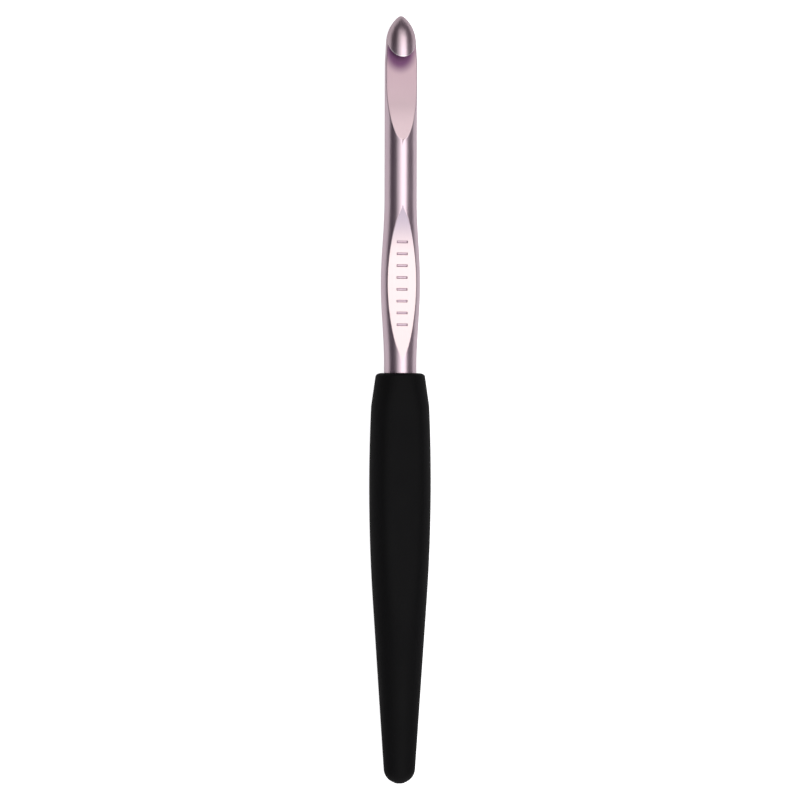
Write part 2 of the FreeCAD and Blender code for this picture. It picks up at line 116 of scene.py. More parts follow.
class Bench:
    """The place where one node tree is put together."""

    def __init__(self, tree: bpy.types.NodeTree) -> None:
        """Clear the tree and start from nothing."""
        self.tree = tree
        tree.nodes.clear()

    def node(
        self,
        kind: str,
        settings: Optional[dict[str, Any]] = None,
        inputs: Optional[dict[Any, Any]] = None,
        output: Union[int, str] = 0,
    ) -> Signal:
        """Add one node.

        Args:
            kind: The node's type name.
            settings: Its properties, which are set first.
            inputs: Values or signals for its sockets, by name or number.
            output: The output socket to hand back.

        Returns:
            The chosen output as a signal.
        """
        made = self.tree.nodes.new(kind)
        for name, value in (settings or {}).items():
            setattr(made, name, value)
        for key, value in (inputs or {}).items():
            socket = made.inputs[key]
            if isinstance(value, Signal):
                self.tree.links.new(value.socket, socket)
            else:
                socket.default_value = value
        return Signal(self, made.outputs[output] if made.outputs else None)

    def coordinates(self, scale: tuple[float, float, float]) -> Signal:
        """Object coordinates stretched by a factor along each axis."""
        place = self.node("ShaderNodeTexCoord", output="Object")
        return self.node("ShaderNodeMapping", inputs={"Vector": place, "Scale": scale})

    def noise(self, scale: tuple[float, float, float], detail: float = 2.0) -> Signal:
        """Smooth noise with so many waves a metre along each axis, from 0 to 1."""
        return self.node(
            "ShaderNodeTexNoise",
            {"noise_dimensions": "3D"},
            {"Vector": self.coordinates(scale), "Scale": 1.0, "Detail": detail},
        )

    def ramp(self, signal: Signal, low: float, high: float, kind: str = "LINEAR") -> Signal:
        """Stretch the signal so that low becomes 0 and high becomes 1, and clamp it."""
        return self.node(
            "ShaderNodeMapRange",
            {"clamp": True, "interpolation_type": kind},
            {"Value": signal, "From Min": low, "From Max": high},
        )

    def blend(self, share: Number, first: Any, second: Any) -> Signal:
        """Mix two colours by a share."""
        return self.node(
            "ShaderNodeMix",
            {"data_type": "RGBA"},
            {"Factor": share, 6: first, 7: second},
            output=2,
        )

    def bump(self, height: Signal, distance: float) -> Signal:
        """Turn a height from 0 to 1, worth the distance in metres, into a normal."""
        return self.node(
            "ShaderNodeBump",
            inputs={"Height": height, "Distance": distance, "Strength": 1.0},
        )


def rgba(colour: Colour) -> tuple[float, float, float, float]:
    """The colour with full opacity."""
    return (*colour, 1.0)


def new_material(name: str) -> tuple[bpy.types.Material, Bench]:
    """Start a material and its bench."""
    material = bpy.data.materials.new(name)
    material.use_nodes = True
    return material, Bench(material.node_tree)


def finish_material(material: bpy.types.Material, bench: Bench, surface: Signal) -> bpy.types.Material:
    """Join the surface to the material's output."""
    bench.node("ShaderNodeOutputMaterial", inputs={"Surface": surface})
    return material


# --- finishes ------------------------------------------------------------------------------

# waves of each pattern in a metre, along the hook and across it
DRAWN_LINES = (18.0, 2600.0, 2600.0)
METAL_CLOUDS = (160.0, 160.0, 160.0)
METAL_GRAIN = (5200.0, 5200.0, 5200.0)
GRIP_CLOUDS = (90.0, 140.0, 140.0)
GRIP_SPECKLE = (3800.0, 3800.0, 3800.0)
GRIP_GRAIN = (2200.0, 2200.0, 2200.0)
GRIP_ROUGHNESS_SPREAD = 0.08

@dataclass(frozen=True)
class PaintedLipShade:
    """Painted shade and dark reflection of the lip on the throat's floor, as an oval cloud in the model's
    frame.
    """

    colour: Colour
    middle: tuple[float, float, float]
    reach: tuple[float, float, float]
    solid_share: float

    def lay_over(self, bench: Bench, colour: Signal) -> Signal:
        """Blend the painted shade into a colour."""
        place = bench.node("ShaderNodeTexCoord", output="Object")
        offset = bench.node("ShaderNodeVectorMath", {"operation": "SUBTRACT"}, {0: place, 1: self.middle})
        squeezed = bench.node("ShaderNodeVectorMath", {"operation": "DIVIDE"}, {0: offset, 1: self.reach})
        far = bench.node("ShaderNodeVectorMath", {"operation": "LENGTH"}, {0: squeezed}, output=1)
        clear = bench.ramp(far, self.solid_share, 1.0, "SMOOTHSTEP")
        return bench.blend(clear, rgba(self.colour), colour)


@dataclass(frozen=True)
class ToneShift:
    """A slow change of colour along the shaft, between two places in the model's frame."""

    colour: Colour
    start: float
    end: float

    def lay_over(self, bench: Bench, colour: Signal) -> Signal:
        """Multiply a colour by the tone, fully at the end and not at all at the start."""
        place = bench.node("ShaderNodeTexCoord", output="Object")
        along = bench.node("ShaderNodeSeparateXYZ", inputs={0: place})
        share = bench.ramp(along, self.start, self.end, "SMOOTHSTEP")
        return bench.node(
            "ShaderNodeMix",
            {"data_type": "RGBA", "blend_type": "MULTIPLY", "clamp_result": False},
            {"Factor": share, 6: colour, 7: rgba(self.colour)},
            output=2,
        )


@dataclass(frozen=True)
class AnodisedMetal:
    """Satin anodised aluminium, drawn lengthwise, with a fine etched grain."""

    name: str
    colour: Colour
    deep_colour: Colour
    roughness: float
    roughness_spread: float
    grain_depth: float
    tones: tuple[Union[PaintedLipShade, ToneShift], ...] = ()

    def material(self) -> bpy.types.Material:
        """Make the material."""
        material, bench = new_material(self.name)
        lines = bench.noise(DRAWN_LINES, 3.0)
        clouds = bench.noise(METAL_CLOUDS, 2.0)
        grain = bench.noise(METAL_GRAIN, 2.0)
        uneven = lines * 0.6 + clouds * 0.4
        colour = bench.blend(
            bench.ramp(uneven, 0.3, 0.7), rgba(self.deep_colour), rgba(self.colour)
        )
        for tone in self.tones:
            colour = tone.lay_over(bench, colour)
        roughness = bench.ramp(uneven, 0.25, 0.75) * self.roughness_spread + self.roughness
        surface = bench.node(
            "ShaderNodeBsdfPrincipled",
            inputs={
                "Base Color": colour,
                "Metallic": 1.0,
                "Roughness": roughness,
                "Normal": bench.bump(grain + lines * 0.5, self.grain_depth),
            },
        )
        return finish_material(material, bench, surface)


@dataclass(frozen=True)
class MouldedBlack:
    """A black moulded material, soft or hard."""

    name: str
    colour: Colour
    dust_colour: Colour
    roughness: float
    shine: float
    grain_depth: float

    def material(self) -> bpy.types.Material:
        """Make the material."""
        material, bench = new_material(self.name)
        clouds = bench.noise(GRIP_CLOUDS, 3.0)
        speckle = bench.noise(GRIP_SPECKLE, 2.0)
        grain = bench.noise(GRIP_GRAIN, 3.0)
        dust = bench.ramp(speckle, 0.62, 0.8) * bench.ramp(clouds, 0.4, 0.7)
        surface = bench.node(
            "ShaderNodeBsdfPrincipled",
            inputs={
                "Base Color": bench.blend(dust, rgba(self.colour), rgba(self.dust_colour)),
                "Roughness": bench.ramp(clouds, 0.3, 0.7) * GRIP_ROUGHNESS_SPREAD + self.roughness,
                "Specular IOR Level": self.shine,
                "Normal": bench.bump(grain, self.grain_depth),
            },
        )
        return finish_material(material, bench, surface)


class Finish(Enum):
    """The finishes of the hook's pieces."""

    SHAFT = AnodisedMetal(
        "satin_anodised_metal",
        (0.79, 0.64, 0.70),
        (0.75, 0.595, 0.66),
        0.31,
        0.05,
        0.000002,
        (ToneShift((0.83, 0.81, 0.80), 0.0850, 0.0890),),
    )
    THROAT = AnodisedMetal(
        "milled_anodised_metal",
        (0.97, 0.775, 0.805),
        (0.94, 0.745, 0.775),
        0.50,
        0.06,
        0.000003,
        (
            ToneShift((0.635, 0.59, 0.62), 0.066, 0.080),
            # painted shade and dark reflection of the lip on the throat's floor, just behind the lip
            PaintedLipShade((0.20, 0.088, 0.185), (0.0857, 0.0004, 0.0070), (0.0062, 0.0048, 0.006), 0.48),
        ),
    )
    REST = AnodisedMetal(
        "pressed_anodised_metal",
        (0.745, 0.62, 0.62),
        (0.715, 0.59, 0.59),
        0.31,
        0.04,
        0.000002,
        (ToneShift((0.575, 0.585, 0.69), 0.0345, 0.0460),),
    )
    # paler metal on the lip's rounded edge: a painted highlight line along the lip
    LIP_HIGHLIGHT = AnodisedMetal(
        "lip_highlight_metal", (0.98, 0.87, 0.92), (0.96, 0.85, 0.90), 0.34, 0.03, 0.000001
    )
    # darker metal for the pressed bars: painted shade in their recesses
    STAMP_SHADE = AnodisedMetal(
        "stamp_shaded_metal", (0.64, 0.50, 0.56), (0.60, 0.46, 0.53), 0.38, 0.04, 0.000001
    )
    SOFT_GRIP = MouldedBlack(
        "soft_black_grip", (0.0053, 0.0053, 0.0055), (0.012, 0.012, 0.013), 0.58, 0.082, 0.00001
    )
    HARD_CORE = MouldedBlack(
        "hard_black_core", (0.008, 0.008, 0.0085), (0.012, 0.012, 0.013), 0.38, 0.35, 0.000004
    )


HOOK_FINISHES = (Finish.SHAFT, Finish.THROAT, Finish.REST, Finish.LIP_HIGHLIGHT, Finish.STAMP_SHADE)


# --- shaping helpers -----------------------------------------------------------------------

def shape_sheet(
    shape: bmesh.types.BMesh,
    rows: int,
    columns: int,
    place: Callable[[int, int], Vector],
) -> list[bmesh.types.BMFace]:
    """Lay a grid of quads over a surface.

    Args:
        shape: The mesh to add to.
        rows: Quads along the piece.
        columns: Quads round the piece.
        place: Gives the point for a row and a column, both counted from 0.

    Returns:
        The new faces.
    """
    made = bmesh.ops.create_grid(shape, x_segments=rows, y_segments=columns, size=1.0)
    for vert in made["verts"]:
        row = round((vert.co.x + 1.0) * rows / 2)
        column = round((vert.co.y + 1.0) * columns / 2)
        vert.co = place(row, column)
    return list({face for vert in made["verts"] for face in vert.link_faces})


def spread(start: float, end: float, count: int) -> list[float]:
    """Even steps from start to end, both included."""
    return [start + (end - start) * index / count for index in range(count + 1)]


def arc(
    centre: tuple[float, float], radii: tuple[float, float], turn: tuple[float, float], count: int
) -> list[tuple[float, float]]:
    """Points on an ellipse's arc, by the angle from its first axis, in degrees."""
    return [
        (
            centre[0] + radii[0] * math.cos(math.radians(angle)),
            centre[1] + radii[1] * math.sin(math.radians(angle)),
        )
        for angle in spread(turn[0], turn[1], count)
    ]


def softly_least(first: float, second: float, width: float) -> float:
    """The lesser of two numbers, rounded off where they are closer than the width."""
    near = max(width - abs(first - second), 0.0) / width
    return min(first, second) - near * near * width / 4


def finish_piece(
    name: str,
    shape: bmesh.types.BMesh,
    to_model: Matrix,
    materials: Iterable[bpy.types.Material],
    sharp_angle: float,
) -> bpy.types.Object:
    """Turn a finished mesh into a piece that stands in the model's own frame.

    Args:
        name: The piece's name.
        shape: The mesh in the working frame, which is used up.
        to_model: The move from the working frame to the model's.
        materials: The piece's materials in the order of their slots.
        sharp_angle: Edges bent more than this, in degrees, stay sharp.

    Returns:
        The new object, at the origin.
    """
    bmesh.ops.transform(shape, matrix=to_model, verts=shape.verts)
    bmesh.ops.recalc_face_normals(shape, faces=shape.faces)
    mesh = bpy.data.meshes.new(name)
    shape.to_mesh(mesh)
    shape.free()
    mesh.shade_smooth()
    mesh.set_sharp_from_angle(angle=math.radians(sharp_angle))
    for material in materials:
        mesh.materials.append(material)
    piece = bpy.data.objects.new(name, mesh)
    bpy.context.scene.collection.objects.link(piece)
    weights = piece.modifiers.new("weights", "WEIGHTED_NORMAL")
    weights.keep_sharp = True
    return piece


# --- hook ----------------------------------------------------------------------------------

@dataclass
class Stamp:
    """A row of short crosswise bars pressed into the thumb rest, one for each millimetre of size."""

    count: int = 8
    pitch: float = 2.9
    bar_width: float = 0.64
    bar_length: float = 2.7
    wall: float = 0.2
    depth: float = 0.16
    margin: float = 1.0


@dataclass
class HookMetal:
    """The one metal piece: pointed head, lip and throat, shaft, thumb rest, and the hidden tang."""

    to_model: Matrix
    radius: float = 4.0
    # head
    nose_radius: float = 1.2
    shoulder_place: float = 6.2
    head_taper: float = 0.31
    head_length: float = 11.5
    # throat
    lip_place: float = 10.75
    lip_angle: float = 37.0
    floor_height: float = 1.3
    ramp_place: float = 18.9
    ramp_angle: float = 12.7
    ramp_radius: float = 30.0
    # thumb rest
    rest_place: float = 66.0
    rest_length: float = 41.0
    rest_swell: float = 0.86
    rest_level: float = 2.71
    dish_radius: float = 113.0
    dish_reach: float = 13.5
    dish_blend: float = 24.0
    # tang
    mouth: float = 88.0
    seat: float = 4.0
    tang_radius: float = 3.0
    tang_length: float = 62.0
    neck_radius: float = 2.4
    neck_place: float = 12.0
    neck_width: float = 3.0
    key_place: float = 24.0
    key_length: float = 30.0
    key_level: float = 2.3
    key_runout: float = 0.5
    tang_chamfer: float = 0.6
    # mesh
    side_columns: int = 36
    lip_columns: int = 30
    head_rows: int = 26
    body_rows: tuple[int, ...] = (10, 44, 10, 110, 5)
    strip_half_angle: float = 2.25
    edge_round: float = 0.27
    edge_segments: int = 4
    bevel_angle: float = 14.0
    lip_edge_reach: float = 0.2
    lip_edge_rise: float = 0.3
    rest_facing: float = 0.98
    sharp_angle: float = 30.0
    stamp: Stamp = field(default_factory=Stamp)

    # the head's outline

    @property
    def cone_slope(self) -> float:
        """How fast the head still widens behind its shoulder."""
        return self.head_taper / (self.head_length - self.shoulder_place)

    @property
    def shoulder_radius(self) -> float:
        """Radius where the pointed nose ends."""
        return self.radius - self.head_taper

    def flank(self) -> tuple[float, float, float]:
        """The ogive's circle, tangent to the nose and to the cone: its centre and its radius."""
        tilt = math.atan(self.cone_slope)
        inward = Vector((math.sin(tilt), -math.cos(tilt)))
        shoulder = Vector((self.shoulder_place, self.shoulder_radius))
        gap = shoulder - Vector((self.nose_radius, 0.0))
        size = (self.nose_radius**2 - gap.length_squared) / (2 * (gap.dot(inward) + self.nose_radius))
        centre = shoulder + inward * size
        return centre.x, centre.y, size

    def head_radius(self, station: float) -> float:
        """Radius of the head at a station."""
        across, down, size = self.flank()
        to_nose = Vector((self.nose_radius - across, -down)).normalized()
        nose_end = self.nose_radius + to_nose.x * self.nose_radius
        if station <= nose_end:
            return math.sqrt(max(self.nose_radius**2 - (station - self.nose_radius) ** 2, 0.0))
        if station <= self.shoulder_place:
            return down + math.sqrt(size**2 - (station - across) ** 2)
        return min(self.shoulder_radius + self.cone_slope * (station - self.shoulder_place), self.radius)

    # the lip's plane, which rises from the floor towards the handle

    @property
    def lip_slope(self) -> float:
        """Rise of the lip's face along the shaft."""
        return math.tan(math.radians(self.lip_angle))

    @property
    def lip_height(self) -> float:
        """Height of the lip's edge over the axis."""
        return self.head_radius(self.lip_place)

    @property
    def notch_place(self) -> float:
        """Station where the lip's face meets the floor of the throat."""
        return self.lip_place - (self.lip_height - self.floor_height) / self.lip_slope

    @property
    def notch_angle(self) -> float:
        """Angle from the top at which the floor meets the outside, at the notch."""
        return math.acos(self.floor_height / self.head_radius(self.notch_place))

    def head_end(self, angle: float) -> float:
        """Station where the head ends at an angle from the top: the lip's edge, or below it the notch."""
        if abs(angle) >= self.notch_angle:
            return self.notch_place
        lean = math.cos(angle)
        base = self.shoulder_radius - self.cone_slope * self.shoulder_place
        rise = self.lip_height - self.lip_slope * self.lip_place
        return (base * lean - rise) / (self.lip_slope - self.cone_slope * lean)

    # sections behind the notch

    @property
    def throat_end(self) -> float:
        """Station where the throat's ramp comes up to the top of the shaft."""
        slope = math.tan(math.radians(self.ramp_angle))
        return self.ramp_place + (self.radius - self.floor_height) / slope

    def throat_level(self, station: float) -> float:
        """Height of the throat's floor and ramp."""
        slope = math.radians(self.ramp_angle)
        turn_start = self.ramp_place - self.ramp_radius * math.tan(slope / 2)
        turn_end = turn_start + self.ramp_radius * math.sin(slope)
        if station <= turn_start:
            return self.floor_height
        if station <= turn_end:
            return self.floor_height + self.ramp_radius - math.sqrt(
                self.ramp_radius**2 - (station - turn_start) ** 2
            )
        return self.floor_height + (station - self.ramp_place) * math.tan(slope)

    def rest_level_at(self, station: float) -> float:
        """Height of the dish in the thumb rest: hollow, then straight, then rounded over."""
        reach = abs(station - self.rest_place)
        level = self.rest_level + min(reach, self.dish_reach) ** 2 / (2 * self.dish_radius)
        if reach <= self.dish_reach:
            return level
        slope = self.dish_reach / self.dish_radius
        round_over = self.dish_blend * slope
        straight_end = self.dish_reach + (self.radius - level - slope * round_over / 2) / slope
        if reach <= straight_end:
            return level + slope * (reach - self.dish_reach)
        past = min(reach - straight_end, round_over)
        return level + slope * (straight_end - self.dish_reach + past) - past**2 / (2 * self.dish_blend)

    def section(self, station: float) -> tuple[float, float, float, float]:
        """Half width, half depth, and the levels of a flat above and below, behind the notch."""
        tang = station - self.mouth
        if tang > self.seat + MERGE:
            size = self.tang_radius
            if self.neck_place + MERGE < tang < self.neck_place + self.neck_width - MERGE:
                size = self.neck_radius
            size = min(size, self.tang_radius - self.tang_chamfer + (self.tang_length - tang))
            into_key = min(tang - self.key_place, self.key_place + self.key_length - tang)
            share = min(max(into_key / self.key_runout, 0.0), 1.0)
            level = size - share * (size - self.key_level)
            return size, size, level, level
        swell = 0.0
        reach = 2 * (station - self.rest_place) / self.rest_length
        if abs(reach) < 1:
            swell = self.rest_swell * math.cos(math.pi / 2 * reach) ** 2
        size = self.head_radius(station)
        dish = self.rest_level_at(station)
        return size + swell, size, min(self.throat_level(station), dish), dish

    def stations(self) -> list[float]:
        """Where the sections behind the notch lie, closer together where the shape turns."""
        marks = [
            self.notch_place,
            self.head_length,
            self.throat_end,
            self.rest_place - self.rest_length / 2,
            self.rest_place + self.rest_length / 2,
            self.mouth + self.seat,
        ]
        places = marks[:1]
        for start, end, rows in zip(marks, marks[1:], self.body_rows):
            places += spread(start, end, rows)[1:]
        return places

    def tang_stations(self) -> list[tuple[float, float]]:
        """Stations of the tang and the side from which each is read, so that a step has two."""
        step = 2 * MERGE
        neck = self.neck_place
        neck_end = neck + self.neck_width
        key_end = self.key_place + self.key_length
        marks = [
            (self.seat, step), (neck, -step), (neck, step), (neck_end, -step), (neck_end, step),
            (self.key_place, 0.0), (self.key_place + self.key_runout, 0.0),
            (key_end - self.key_runout, 0.0), (key_end, 0.0),
            (self.tang_length - self.tang_chamfer, 0.0), (self.tang_length, 0.0),
        ]
        return [(self.mouth + place, self.mouth + place + side) for place, side in marks]

    def side_angles(self, top: float, bottom: float) -> list[float]:
        """Angles from the top, once round: down one side, across below, and up the other side."""
        down = spread(top, bottom, self.side_columns)
        return down + [2 * math.pi - angle for angle in reversed(down)] + [2 * math.pi + top]

    def ring(self, station: float, read_at: float) -> list[Vector]:
        """The points of one section behind the notch, from the top edge round and back to it."""
        half_width, half_depth, above, below = self.section(read_at)
        least = math.radians(self.strip_half_angle)
        top = max(math.acos(min(above / half_depth, 1.0)), least)
        bottom = math.pi - max(math.acos(min(below / half_depth, 1.0)), least)
        return [
            Vector((station, half_width * math.sin(angle), half_depth * math.cos(angle)))
            for angle in self.side_angles(top, bottom)
        ]

    def shape_head(self, shape: bmesh.types.BMesh) -> None:
        """The pointed head, up to the edge of its lip and, lower down, to the notch."""
        bottom = math.pi - math.radians(self.strip_half_angle)
        angles = self.side_angles(self.notch_angle, bottom)[:-1]
        angles += [
            2 * math.pi + angle
            for angle in spread(-self.notch_angle, self.notch_angle, self.lip_columns)[1:]
        ]

        def place(row: int, column: int) -> Vector:
            """A point of the head."""
            share = 1 - math.cos(math.pi / 2 * row / self.head_rows)
            angle = angles[column]
            from_top = math.remainder(angle, 2 * math.pi)
            station = share * self.head_end(from_top)
            size = self.head_radius(station)
            return Vector((station, size * math.sin(angle), size * math.cos(angle)))

        shape_sheet(shape, self.head_rows, len(angles) - 1, place)

    def shape_body(self, shape: bmesh.types.BMesh) -> list[bmesh.types.BMFace]:
        """Everything behind the notch, as one sheet from ring to ring; gives back its top strip."""
        rings = [self.ring(place, place) for place in self.stations()]
        rings += [self.ring(place, read_at) for place, read_at in self.tang_stations()]
        rings.append([Vector((self.mouth + self.tang_length, 0.0, 0.0))] * len(rings[0]))
        last = len(rings[0]) - 1
        faces = shape_sheet(shape, len(rings) - 1, last, lambda row, column: rings[row][column].copy())
        narrow = math.sin(math.radians(self.strip_half_angle)) * self.radius + MERGE
        return [face for face in faces if self.is_strip(face, narrow)]

    @staticmethod
    def is_strip(face: bmesh.types.BMFace, narrow: float) -> bool:
        """Whether a face lies in the flat strip on the top, wider than the narrow closing strip."""
        sides = [vert.co.y for vert in face.verts]
        return (
            min(vert.co.z for vert in face.verts) > 0
            and max(sides) > narrow
            and abs(max(sides) + min(sides)) < MERGE
        )

    def round_edges(self, shape: bmesh.types.BMesh) -> None:
        """Take the sharpness off the lip, the notch, and the edges of the throat and the rest."""
        limit = math.radians(self.bevel_angle)
        sharp = [
            edge
            for edge in shape.edges
            if edge.calc_face_angle(0.0) > limit
            and min(vert.co.x for vert in edge.verts) > self.nose_radius
            and max(vert.co.x for vert in edge.verts) < self.mouth
        ]
        rounded = bmesh.ops.bevel(
            shape,
            geom=sharp,
            affect="EDGES",
            offset=self.edge_round,
            offset_type="WIDTH",
            segments=self.edge_segments,
            profile=0.5,
            material=-1,
        )
        # the bevel faces along the lip's edge take the paler metal, a painted highlight line
        for face in rounded["faces"]:
            middle = face.calc_center_median()
            if (
                middle.x < self.lip_place + self.lip_edge_reach
                and middle.z > self.floor_height + self.lip_edge_rise
            ):
                face.material_index = HOOK_FINISHES.index(Finish.LIP_HIGHLIGHT)

    def press_stamp(self, shape: bmesh.types.BMesh) -> None:
        """Press the row of bars into the thumb rest."""
        stamp = self.stamp
        length = (stamp.count - 1) * stamp.pitch + stamp.bar_width
        first = self.rest_place - length / 2
        starts = [first + index * stamp.pitch for index in range(stamp.count)]
        cuts = [(Vector((0.0, side * stamp.bar_length / 2, 0.0)), Vector((0, 1, 0))) for side in (-1, 1)]
        for start in starts:
            cuts.append((Vector((start, 0.0, 0.0)), Vector((1, 0, 0))))
            cuts.append((Vector((start + stamp.bar_width, 0.0, 0.0)), Vector((1, 0, 0))))
        for point, normal in cuts:
            faces = [
                face
                for face in shape.faces
                if face.normal.z > self.rest_facing
                and abs(face.calc_center_median().x - self.rest_place) < length / 2 + stamp.margin
            ]
            edges = {edge for face in faces for edge in face.edges}
            verts = {vert for face in faces for vert in face.verts}
            bmesh.ops.bisect_plane(
                shape, geom=[*faces, *edges, *verts], dist=MERGE, plane_co=point, plane_no=normal
            )
        for start in starts:
            middle = start + stamp.bar_width / 2
            bar = [
                face
                for face in shape.faces
                if face.normal.z > self.rest_facing
                and abs(face.calc_center_median().x - middle) < stamp.bar_width / 2
                and abs(face.calc_center_median().y) < stamp.bar_length / 2
            ]
            joined = bmesh.ops.dissolve_faces(shape, faces=bar, use_verts=True)["region"]
            walls = bmesh.ops.inset_region(
                shape, faces=joined, thickness=stamp.wall, depth=-stamp.depth, use_even_offset=True
            )
            # the bars' floors and walls take the darker metal, painted shade in the recesses
            for face in [*joined, *walls["faces"]]:
                face.material_index = HOOK_FINISHES.index(Finish.STAMP_SHADE)

    def build(self) -> bpy.types.Object:
        """Make the metal piece."""
        shape = bmesh.new()
        self.shape_head(shape)
        strip = self.shape_body(shape)
        for face in strip:
            place = face.calc_center_median().x
            if place < self.throat_end:
                face.material_index = HOOK_FINISHES.index(Finish.THROAT)
            elif abs(place - self.rest_place) < self.rest_length / 2:
                face.material_index = HOOK_FINISHES.index(Finish.REST)
        bmesh.ops.remove_doubles(shape, verts=shape.verts, dist=MERGE)
        open_edges = [edge for edge in shape.edges if edge.is_boundary]
        filled = bmesh.ops.holes_fill(shape, edges=open_edges, sides=0)
        for face in filled["faces"]:
            face.material_index = HOOK_FINISHES.index(Finish.THROAT)
        bmesh.ops.recalc_face_normals(shape, faces=shape.faces)
        self.round_edges(shape)
        shape.normal_update()
        self.press_stamp(shape)
        materials = [finish.value.material() for finish in HOOK_FINISHES]
        return finish_piece("hook_metal", shape, self.to_model, materials, self.sharp_angle)


# --- handle --------------------------------------------------------------------------------

@dataclass
class GripSkin:
    """The soft skin of the handle, moulded over the core and closed round the shaft."""

    to_model: Matrix
    mouth: float = 88.0
    length: float = 101.0
    bore: float = 4.0
    seat_depth: float = 2.4
    # outside
    face_dip: float = 0.14
    face_crest: float = 4.8
    rim_place: float = 0.9
    rim_height: float = 6.143
    flare_place: float = 8.1
    crest_place: float = 27.5
    crest_height: float = 7.62
    swell_radius: float = 430.0
    butt_radius: float = 3.6
    butt_flat: float = 0.3
    # inside
    wall: float = 1.2
    pin_radius: float = 1.2
    rib_place: float = 13.0
    rib_pitch: float = 7.0
    rib_width: float = 2.2
    rib_depth: float = 0.7
    rib_count: int = 4
    # section
    oval_ratio: float = 0.9
    flat_level: float = 5.7
    flat_blend: float = 0.84
    round_reach: float = 1.2
    # margins
    pin_margin: float = 0.1
    rib_margin: float = 0.2
    front_rise: float = 0.2
    seat_margin: float = 0.1
    # mesh
    face_steps: int = 5
    rim_steps: int = 12
    flare_steps: int = 8
    swell_steps: int = 34
    taper_steps: int = 22
    butt_steps: int = 14
    turn_steps: int = 144
    sharp_angle: float = 40.0

    def taper(self) -> float:
        """Slope angle of the straight back of the handle, tangent to the swell and to the butt."""
        gap = Vector((
            self.length - self.butt_radius - self.crest_place,
            self.butt_flat - self.crest_height + self.swell_radius,
        ))
        between = math.acos((self.swell_radius - self.butt_radius) / gap.length)
        return math.atan2(gap.x, gap.y) - between

    def side(self, inset: float, start: float) -> list[tuple[float, float]]:
        """The long side of the handle from the flare to its round end, so far inside it."""
        taper = math.degrees(self.taper())
        first = math.degrees(math.asin((start - self.crest_place) / (self.swell_radius - inset)))
        swell_centre = (self.crest_place, self.crest_height - self.swell_radius)
        swell_size = self.swell_radius - inset
        butt_centre = (self.length - self.butt_radius, self.butt_flat)
        butt_size = self.butt_radius - inset
        swell = arc(swell_centre, (swell_size, swell_size), (90 - first, 90 - taper), self.swell_steps)
        butt = arc(butt_centre, (butt_size, butt_size), (90 - taper, 0), self.butt_steps)
        straight = [
            (
                swell[-1][0] + (butt[0][0] - swell[-1][0]) * share,
                swell[-1][1] + (butt[0][1] - swell[-1][1]) * share,
            )
            for share in spread(0.0, 1.0, self.taper_steps)[1:-1]
        ]
        whole = swell + straight + butt
        return [point for point in whole if point[1] > self.pin_radius + self.pin_margin]

    def outside(self) -> list[tuple[float, float]]:
        """Outline from the bore over the mouth and along the side to the tail pin's hole."""
        face = arc(
            (self.face_dip, self.face_crest),
            (self.face_dip, self.face_crest - self.bore),
            (270, 180),
            self.face_steps,
        )
        rim = arc(
            (self.rim_place, self.face_crest),
            (self.rim_place, self.rim_height - self.face_crest),
            (180, 90),
            self.rim_steps,
        )
        side = self.side(0.0, self.flare_place)
        flare = [
            (
                rim[-1][0] + (side[0][0] - rim[-1][0]) * share,
                rim[-1][1] + (side[0][1] - rim[-1][1]) * share,
            )
            for share in spread(0.0, 1.0, self.flare_steps)[1:-1]
        ]
        return face + rim[1:] + flare + side + [(self.length, self.pin_radius)]

    def inside(self) -> list[tuple[float, float]]:
        """Outline back along the core: the pin's hole, the side with its ribs, and the front."""
        side = self.side(self.wall, self.flare_place)
        starts = [self.rib_place + index * self.rib_pitch for index in range(self.rib_count)]
        spans = [(start, start + self.rib_width) for start in starts]
        top = self.crest_height - self.wall
        drop = 2 * (self.swell_radius - self.wall)
        floor = self.crest_height - self.wall - self.rib_depth
        ribs: list[tuple[float, float]] = []
        for start, end in spans:
            ribs.append((start, top - (start - self.crest_place) ** 2 / drop))
            ribs.append((start, floor))
            ribs.append((end, floor))
            ribs.append((end, top - (end - self.crest_place) ** 2 / drop))
        margin = self.rib_margin
        clear = [
            point for point in side
            if not any(start - margin < point[0] < end + margin for start, end in spans)
        ]
        line = sorted(
            [(point[0], order, point[1]) for order, point in enumerate(clear)]
            + [(point[0], order, point[1]) for order, point in enumerate(ribs)]
        )
        along = [(place, height) for place, _, height in line]
        front = (self.seat_depth, self.rim_height + self.front_rise - self.wall)
        back = (self.length - self.wall, self.pin_radius)
        return [back] + along[::-1] + [front, (self.seat_depth, self.bore)]

    def press_oval(self, shape: bmesh.types.BMesh, level: bmesh.types.BMLayerItem) -> None:
        """Press the round form into its oval, with the flats above and below."""
        for vert in shape.verts:
            place = vert.co.x - self.mouth
            size = math.hypot(vert.co.y, vert.co.z)
            ratio = self.oval_ratio
            if place < self.seat_depth + self.seat_margin:
                share = min(max((size - self.bore) / self.round_reach, 0.0), 1.0)
                ratio = 1 - (1 - self.oval_ratio) * share
            elif place > self.length - self.butt_radius:
                share = min(max((size - self.pin_radius) / self.round_reach, 0.0), 1.0)
                ratio = 1 - (1 - self.oval_ratio) * share
            height = softly_least(abs(vert.co.z) * ratio, vert[level], self.flat_blend)
            if size > self.bore + MERGE:
                vert.co.z = math.copysign(height, vert.co.z)
            else:
                vert.co.z *= ratio

